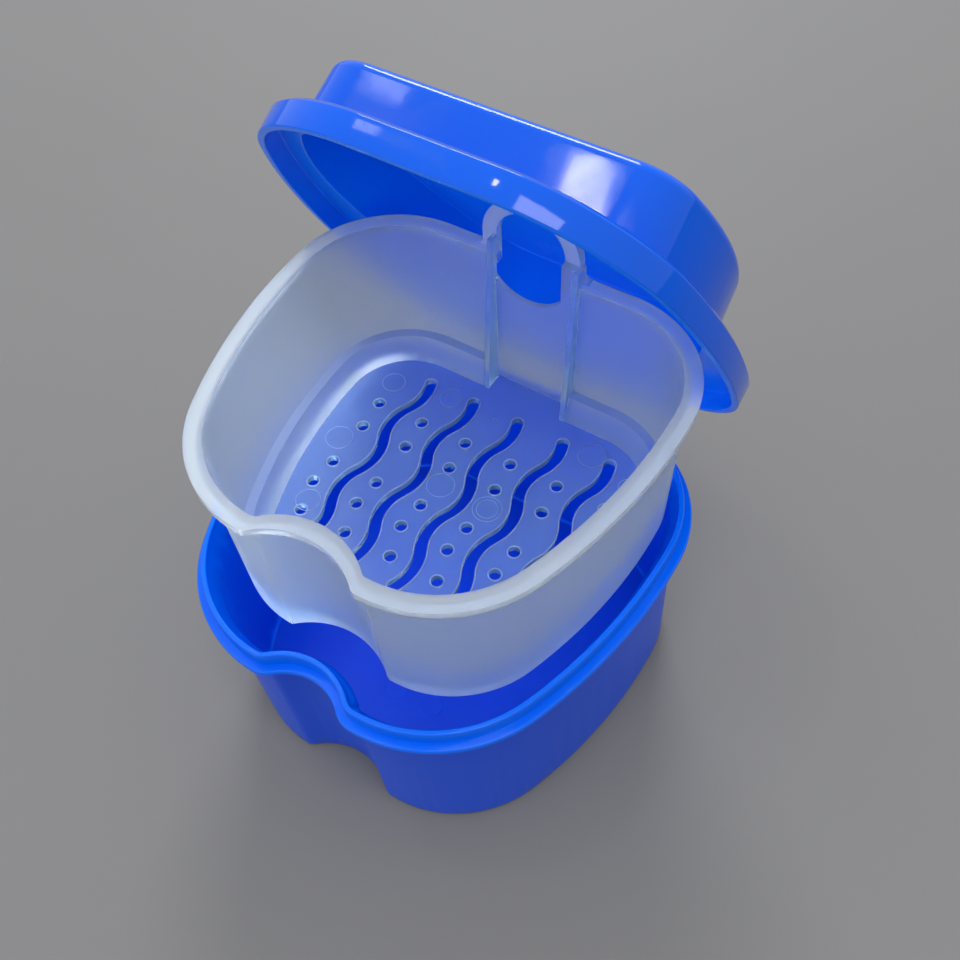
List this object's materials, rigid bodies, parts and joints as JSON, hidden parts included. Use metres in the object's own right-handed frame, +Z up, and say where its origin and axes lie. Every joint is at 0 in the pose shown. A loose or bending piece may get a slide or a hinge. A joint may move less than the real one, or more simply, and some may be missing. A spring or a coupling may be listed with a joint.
{
  "type": "denture case",
  "caption": "Opened denture soaking case: notched tub, slotted rinsing basket with a tab handle, and a domed push-on lid.",
  "frame": {"origin": "centre of the tub's flat underside", "axes": "+Z up out of the tub, -Y towards the thumb notch, +Y towards the handle side, +X to the right seen from the notch"},
  "size_m": [0.0941, 0.1071, 0.1297],
  "materials": {
    "blue_plastic": "fine satin outside, glossy rim",
    "frosted_plastic": "frosted, see-through",
    "lid_plastic": "glossy"
  },
  "bodies": {
    "tub": {"base": "blue_plastic"},
    "basket": {"basket": "frosted_plastic"},
    "lid": {"lid": "lid_plastic"}
  },
  "joints": [
    {"name": "basket_lift", "type": "slide", "parent": "tub", "child": "basket", "axis": [0.034, 0.006, 0.9994], "range_m": [0, 0.05]},
    {"name": "lid_lift", "type": "slide", "parent": "basket", "child": "lid", "axis": [0.012, 0.8879, 0.4599], "range_m": [0, 0.05]}
  ]
}
